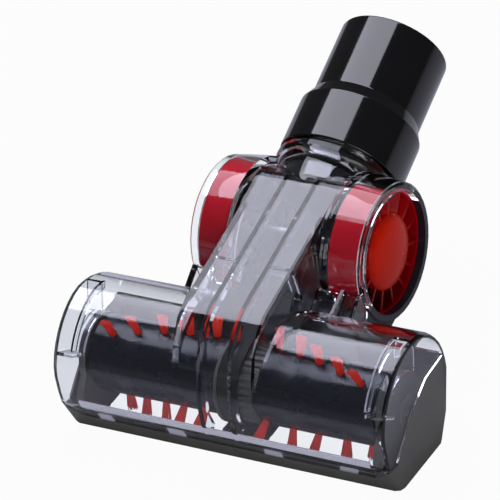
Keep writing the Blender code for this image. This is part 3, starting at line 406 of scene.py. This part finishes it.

# %% [markdown]
# ### Which finish goes where
#
# Each row holds a node's finish and the name of its material slot in the record. Most
# corners turn by more than 28 degrees. The large mouldings need a smaller angle, so that
# their shallow steps stay crisp, and the vaned parts a larger one, so that the vanes'
# curves stay soft.
# The last number rounds the corners of parts that are handled or turned, by 0.15 to
# 0.35 mm, as a worn mould or a file does.

# %% Dress the mouldings and the drive
finish_of = {
    "cover": (clear, "clear_plastic", 24.0),
    "base": (satin, "black_plastic", 24.0),
    "hose_connector": (gloss, "gloss_black", 24.0, 0.00035),
    "swivel_sleeve": (gloss, "gloss_black", 28.0, 0.00015),
    "inlet_left": (crimson, "red_plastic", 35.0),
    "inlet_right": (crimson, "red_plastic", 35.0),
    "roller_left": (navy, "navy_plastic"),
    "roller_right": (navy, "navy_plastic"),
    "roller_pulley": (satin, "black_plastic"),
    "turbine_pulley": (satin, "black_plastic"),
    "drive_belt": (rubber, "rubber", 28.0, 0.0002),
    "roller_cap_left": (satin, "black_plastic", 28.0, 0.0002),
    "roller_cap_right": (satin, "black_plastic", 28.0, 0.0002),
    "roller_bush_left": (satin, "black_plastic"),
    "roller_bush_right": (satin, "black_plastic"),
    "roller_axle": (steel, "steel", 28.0, 0.0002),
    "turbine_shaft": (steel, "steel", 28.0, 0.0002),
    "turbine_bearing_left": (steel, "steel"),
    "turbine_bearing_right": (steel, "steel"),
    "turbine_wheel_left": (navy, "navy_plastic", 35.0),
    "turbine_wheel_right": (navy, "navy_plastic", 35.0),
}
pieces = {name: dressed(name, *how) for name, how in finish_of.items()}
print("dressed", len(pieces), "nodes")

# %% [markdown]
# ### The two ribs under the neck
#
# In the picture the two belt-channel ribs are bands that are darker than the skin around
# them, because the skin's inner mirror image is missing there. Traced with the skin's own
# finish, their square sides catch the softbox by total reflection and turn into bright
# lines. So the faces that belong to a rib alone get a finish with a low index, which bends
# light little and mirrors hardly any. They are found by their place across the neck.

# %% Give the ribs' sides their own finish
# Painted shade: the rib sides are tinted darker than the skin, so the ribs read as darker bands.
RIB_SHADE_DEEP, RIB_SHADE_PALE = (0.76, 0.78, 0.86), (0.82, 0.84, 0.91)
ribbed = Finish("clear_rib_sides", Transmission_Weight=1.0, IOR=1.12)
ribbed.color(ribbed.blend(ribbed.cloud(0.012, detail=4.0), RIB_SHADE_DEEP, RIB_SHADE_PALE))
ribbed.rough(0.05 + 0.05 * ribbed.cloud(0.004))
ribbed.bump(ribbed.cloud(0.006, detail=1.0), height=0.00003, strength=0.3)

RIB_INNER, RIB_OUTER = 0.0049, 0.0071
housing = pieces["cover"].data
housing.materials.append(ribbed.material)
sides = 0
for face in housing.polygons:
    across = [housing.vertices[corner].co.x for corner in face.vertices]
    reach = [abs(x) for x in across]
    one_side = min(across) * max(across) > 0.0
    if one_side and RIB_INNER < min(reach) and max(reach) < RIB_OUTER:
        face.material_index = 1
        sides += 1
print("rib sides:", sides, "faces of", ribbed.material.name)

# %% [markdown]
# ## The pale foot of the clear cover
#
# Light that enters a clear moulding runs down inside its wall and leaves at its edge, so the
# cover's foot shows as a pale band above the base's snap tabs and between them. Tracing that
# light would take thousands of bounces. A thin frosted comb right behind the wall, with a
# very weak glow of its own, paints the same band: painted light in place of the light that
# the wall pipes down.

# %% Frosted finish with a painted glow
FOOT_GLOW_DEEP, FOOT_GLOW_PALE = (0.66, 0.66, 0.74), (0.82, 0.82, 0.88)
foot_glow = Finish(
    "painted_foot_glow",
    IOR=1.49,
    Transmission_Weight=0.25,
    Specular_IOR_Level=0.3,
    # Painted light: the comb's own glow stands in for the light piped down the wall.
    Emission_Color=(0.88, 0.88, 1.0),
    Emission_Strength=0.20,
)
glow_mottle = foot_glow.cloud(0.006)
foot_glow.color(foot_glow.blend(glow_mottle, FOOT_GLOW_DEEP, FOOT_GLOW_PALE))
foot_glow.rough(0.30 + 0.20 * glow_mottle)
foot_glow.bump(foot_glow.cloud(0.0012, detail=2.0), height=0.00003, strength=0.4)
print("made", foot_glow.material.name)

# %% [markdown]
# ### The comb itself
#
# The comb starts as one flat outline of a few vertices, drawn in X and Z with a tooth in
# each gap between two tabs, and is then extruded. A strip and four boxes could be joined
# instead, but they would leave seams inside the frosted piece.

# %% Frosted foot band of painted light
BAND_END = 0.0570
BAND_TOP, BAND_LOW, TOOTH_LOW = 0.0140, 0.0113, 0.0056
TOOTH_SPANS = ((-0.0517, -0.0458), (-0.0237, -0.0168), (0.0143, 0.0212), (0.0433, 0.0502))
WALL_LEAN = -0.5
BAND_FOOT_Y = -0.07130
BAND_THICK = 0.0005


def on_wall(x, z):
    """A point of the comb: it leans with the cover's front wall."""
    return Vector((x, BAND_FOOT_Y + WALL_LEAN * (z - TOOTH_LOW), z))


def shaped(shape, name, material):
    """Turns a finished bmesh into an object of the scene."""
    mesh = bpy.data.meshes.new(name)
    shape.to_mesh(mesh)
    shape.free()
    mesh.materials.append(material)
    return placed(name, mesh)


outline = [(BAND_END, BAND_TOP), (-BAND_END, BAND_TOP), (-BAND_END, BAND_LOW)]
for start, end in TOOTH_SPANS:
    outline += [(start, BAND_LOW), (start, TOOTH_LOW), (end, TOOTH_LOW), (end, BAND_LOW)]
outline.append((BAND_END, BAND_LOW))
shape = bmesh.new()
sheet = shape.faces.new([shape.verts.new(on_wall(x, z)) for x, z in outline])
grown = bmesh.ops.extrude_face_region(shape, geom=[sheet])
moved = [part for part in grown["geom"] if isinstance(part, bmesh.types.BMVert)]
bmesh.ops.translate(shape, verts=moved, vec=(0.0, BAND_THICK, 0.0))
bmesh.ops.recalc_face_normals(shape, faces=shape.faces)
foot_glow_band = shaped(shape, "cover_foot_glow_band", foot_glow.material)
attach(foot_glow_band, body_of["cover"])
print("foot band:", len(foot_glow_band.data.polygons), "faces")

# %% [markdown]
# ## Bristle nylon
#
# The tufts are red nylon, brighter and more orange where light shines through the thin
# filaments. Full transmission in a bundle this dense would take many bounces, so the finish
# has a little subsurface light, a very weak glow that is painted light for the light
# shining through, and streaks of a brighter red.

# %% Bristle finish
NYLON_DEEP, NYLON_BRIGHT = (0.78, 0.012, 0.008), (0.98, 0.070, 0.025)
bristle = Finish(
    "red_nylon_bristle",
    IOR=1.53,
    Subsurface_Weight=0.15,
    Subsurface_Scale=0.0008,
    # Painted light: a weak glow that lifts the bristles out of the roller's shade.
    Emission_Color=(1.0, 0.03, 0.015),
    Emission_Strength=0.10,
)
streak = bristle.cloud(0.0007)
bristle.color(bristle.blend(streak, NYLON_DEEP, NYLON_BRIGHT))
bristle.rough(0.28 + 0.22 * streak)
bristle.bump(bristle.cloud(0.0003, detail=2.0), height=0.00001, strength=0.4)
print("made", bristle.material.name)

# %% [markdown]
# ### The bristles
#
# Each tuft of the real roller is a punched bundle of filaments, about a quarter of a
# millimetre thick, standing close at the root and spreading at the tip. A particle system
# could do this, but its hairs are not a mesh. Here one bmesh holds a tuft: each filament is
# a slim cone, moved to its place in the root and leant outwards, a little longer or shorter
# than the next, so that the ends are ragged as cut bristle is. The roots fill a disc evenly,
# because each one is turned by the golden angle from the last. The bundle spreads along the
# roller and narrows a little across it, as worn tufts do.

# %% Plant the tufts
FILAMENTS = 64
FILAMENT_SIDES = 6
FILAMENT_R = 0.00015
FILAMENT_TIP = 0.72
GOLDEN_ANGLE = math.radians(137.5)
ROOT_R = 0.00105
FLARE = 0.0012
PINCH = 0.00025
TIP_SHIFT = 0.0016
STRAY_SIDE, STRAY_FRONT = 0.0003, 0.00014
SHORTEST, LENGTH_SPAN = 0.90, 0.10
TIP_CLEAR = 0.0002
FIRST_SEED = 40


def planted(name, seed):
    """A bundle of filaments inside the place of the CAD tuft."""
    chance = random.Random(seed)
    verts = [Vector(v.co) for v in nodes[name].data.vertices]
    centre = sum(verts, Vector()) / len(verts)
    axis = axes["roller_spin"]
    outward = Vector((0.0, centre.y - axis.y, centre.z - axis.z)).normalized()
    heights = [(v - axis).dot(outward) for v in verts]
    root, tip = min(heights), max(heights)
    along = Vector((1.0, 0.0, 0.0))
    across = outward.cross(along)
    foot = Vector((centre.x, axis.y, axis.z)) + outward * root
    lean_x = TIP_SHIFT * chance.uniform(-1, 1)
    shape = bmesh.new()
    for index in range(FILAMENTS):
        ring = math.sqrt((index + 0.5) / FILAMENTS)
        turn = index * GOLDEN_ANGLE
        side, front = ring * math.cos(turn), ring * math.sin(turn)
        start = foot + along * (ROOT_R * side) + across * (ROOT_R * front)
        length = (tip - root) * (SHORTEST + LENGTH_SPAN * chance.random()) - TIP_CLEAR
        wander = Vector((chance.uniform(-1, 1), chance.uniform(-1, 1)))
        spread_x = (FLARE * side + lean_x + STRAY_SIDE * wander.x) / length
        spread_y = (-PINCH * front + STRAY_FRONT * wander.y) / length
        lean = (outward + along * spread_x + across * spread_y).normalized()
        tilt = lean.to_track_quat("Z", "X").to_matrix().to_4x4()
        bmesh.ops.create_cone(
            shape,
            cap_ends=True,
            segments=FILAMENT_SIDES,
            radius1=FILAMENT_R,
            radius2=FILAMENT_R * FILAMENT_TIP,
            depth=length,
            matrix=Matrix.Translation(start + lean * length / 2) @ tilt,
        )
    for face in shape.faces:
        face.smooth = len(face.verts) == 4
    tuft = shaped(shape, name + "_bristles", bristle.material)
    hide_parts(name)
    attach(tuft, body_of[name])
    return tuft


tuft_names = sorted(name for name in nodes if name.startswith("tuft"))
tufts = [planted(name, FIRST_SEED + index) for index, name in enumerate(tuft_names)]
print("planted", len(tufts), "tufts of", FILAMENTS, "filaments")

# %% [markdown]
# ## Floor and backdrop
#
# The reference shows the head cut out on white. A plain white floor would turn grey at the
# edges of the light, so rays from the camera, also those that run straight through clear
# plastic, see mostly a steady white. Mirrored rays see very little of it, because the
# black and the red plastics in the picture mirror a dark room. The lit share of the floor
# keeps a soft shadow under the head. The world does the same for the sides and the back.

# %% Floor and world
PAPER_GREY, ROOM_TINT, ROOM_DIM = (0.42, 0.42, 0.44), (0.93, 0.95, 1.0), 0.03
FLOOR_SEEN, FLOOR_MIRRORED, FLOOR_BENT = 0.96, 0.01, 0.02
ROOM_SEEN, ROOM_MIRRORED, ROOM_BENT = 1.0, 0.03, 0.07
FLOOR_HALF = 4.0
NO_BOUNCE = 0.5


def steady_white(owner, lit_kind, lit_sockets, white_kind, seen_share, mirrored_share, bent_share):
    """Gives the paper or the world a lit shader that turns white for some kinds of ray."""
    owner.use_nodes = True
    tree = owner.node_tree
    output = next(node for node in tree.nodes if node.bl_idname.startswith("ShaderNodeOutput"))
    for node in [node for node in tree.nodes if node != output]:
        tree.nodes.remove(node)
    shading = Shading(tree)

    def ray(kind):
        return shading.node("ShaderNodeLightPath", output=kind)

    unbroken = shading.math("LESS_THAN", ray("Glossy Depth") + ray("Diffuse Depth"), NO_BOUNCE)
    through = ray("Is Transmission Ray") * shading.math("MAXIMUM", unbroken, bent_share)
    seen = shading.math("MAXIMUM", ray("Is Camera Ray"), through) * seen_share
    mirrored = ray("Is Glossy Ray") * mirrored_share
    lit = shading.node(lit_kind, None, lit_sockets)
    white = shading.node(white_kind, None, {"Color": (1.0, 1.0, 1.0), "Strength": 1.0})
    mixed = shading.node("ShaderNodeMixShader", None, {0: seen + mirrored, 1: lit, 2: white})
    shading.put(output.inputs["Surface"], mixed)


paper = bpy.data.materials.new("white_paper")
grey = {"Color": PAPER_GREY}
shares = (FLOOR_SEEN, FLOOR_MIRRORED, FLOOR_BENT)
steady_white(paper, "ShaderNodeBsdfDiffuse", grey, "ShaderNodeEmission", *shares)
shape = bmesh.new()
bmesh.ops.create_grid(shape, x_segments=1, y_segments=1, size=FLOOR_HALF)
floor = shaped(shape, "floor", paper)

world = bpy.data.worlds.new("studio")
bpy.context.scene.world = world
dim = {"Color": ROOM_TINT, "Strength": ROOM_DIM}
shares = (ROOM_SEEN, ROOM_MIRRORED, ROOM_BENT)
steady_white(world, "ShaderNodeBackground", dim, "ShaderNodeBackground", *shares)
print("floor and world:", paper.name, "and", world.name)

# %% [markdown]
# ## Lamps
#
# The stripes on the black connector and the glare on the clear neck tell where the studio's
# lamp was: mirrored at those places, the line of sight runs up to one large softbox above
# the head and a little to its left and rear. An area lamp of that size and place gives the
# same shapes. A weak second panel at the right front lights the cheek, the domed hub and
# the guide vanes, which the softbox doesn't reach.

# %% Softbox and fill
def panel(name, place, aim, wide, deep, watts, tint=(1.0, 1.0, 1.0)):
    """A rectangular area lamp at a place, turned to shine at its aim."""
    lamp = bpy.data.lights.new(name, "AREA")
    lamp.shape = "RECTANGLE"
    lamp.size = wide
    lamp.size_y = deep
    lamp.energy = watts
    lamp.color = tint
    holder = placed(name, lamp)
    holder.location = place
    holder.rotation_mode = "QUATERNION"
    holder.rotation_quaternion = (Vector(place) - Vector(aim)).to_track_quat("Z", "Y")
    return holder


softbox = panel(
    "softbox",
    place=(-0.36, 0.34, 1.20),
    aim=(-0.36, 0.34, 0.0),
    wide=1.30,
    deep=1.20,
    watts=23.0,
    tint=(0.86, 0.86, 1.0),
)
front_fill = panel(
    "front_fill", place=(1.35, -1.62, 0.55), aim=(0.0, 0.0, 0.04), wide=1.6, deep=1.0, watts=13.0
)
print("lamps:", softbox.name, "and", front_fill.name)

# %% [markdown]
# ## Camera
#
# The picture was taken from the right front, from well above, with a long lens, and the
# head lies turned in the frame. The direction, the roll and the focal length come from
# matching a dozen corners of the CAD part with the same corners in the picture.

# %% Place the camera
CAMERA_PLACE = Vector((0.575489, -0.870031, 0.691609))
CAMERA_BACK = Vector((0.484274, -0.697926, 0.527616))
CAMERA_UP = Vector((-0.157454, 0.523679, 0.837239))
SENSOR_MM, LENS_MM = 36.0, 254.02
NEAREST, FURTHEST = 0.05, 30.0
eye = bpy.data.cameras.new("camera")
eye.sensor_width = SENSOR_MM
eye.lens = LENS_MM
eye.clip_start = NEAREST
eye.clip_end = FURTHEST
camera = placed("camera", eye)
right = CAMERA_UP.cross(CAMERA_BACK).normalized()
up = CAMERA_BACK.cross(right).normalized()
turn = Matrix((right, up, CAMERA_BACK.normalized())).transposed()
camera.matrix_world = Matrix.Translation(CAMERA_PLACE) @ turn.to_4x4()
bpy.context.scene.camera = camera
bpy.context.scene.view_settings.view_transform = "Standard"
print("camera looks along", tuple(-CAMERA_BACK))
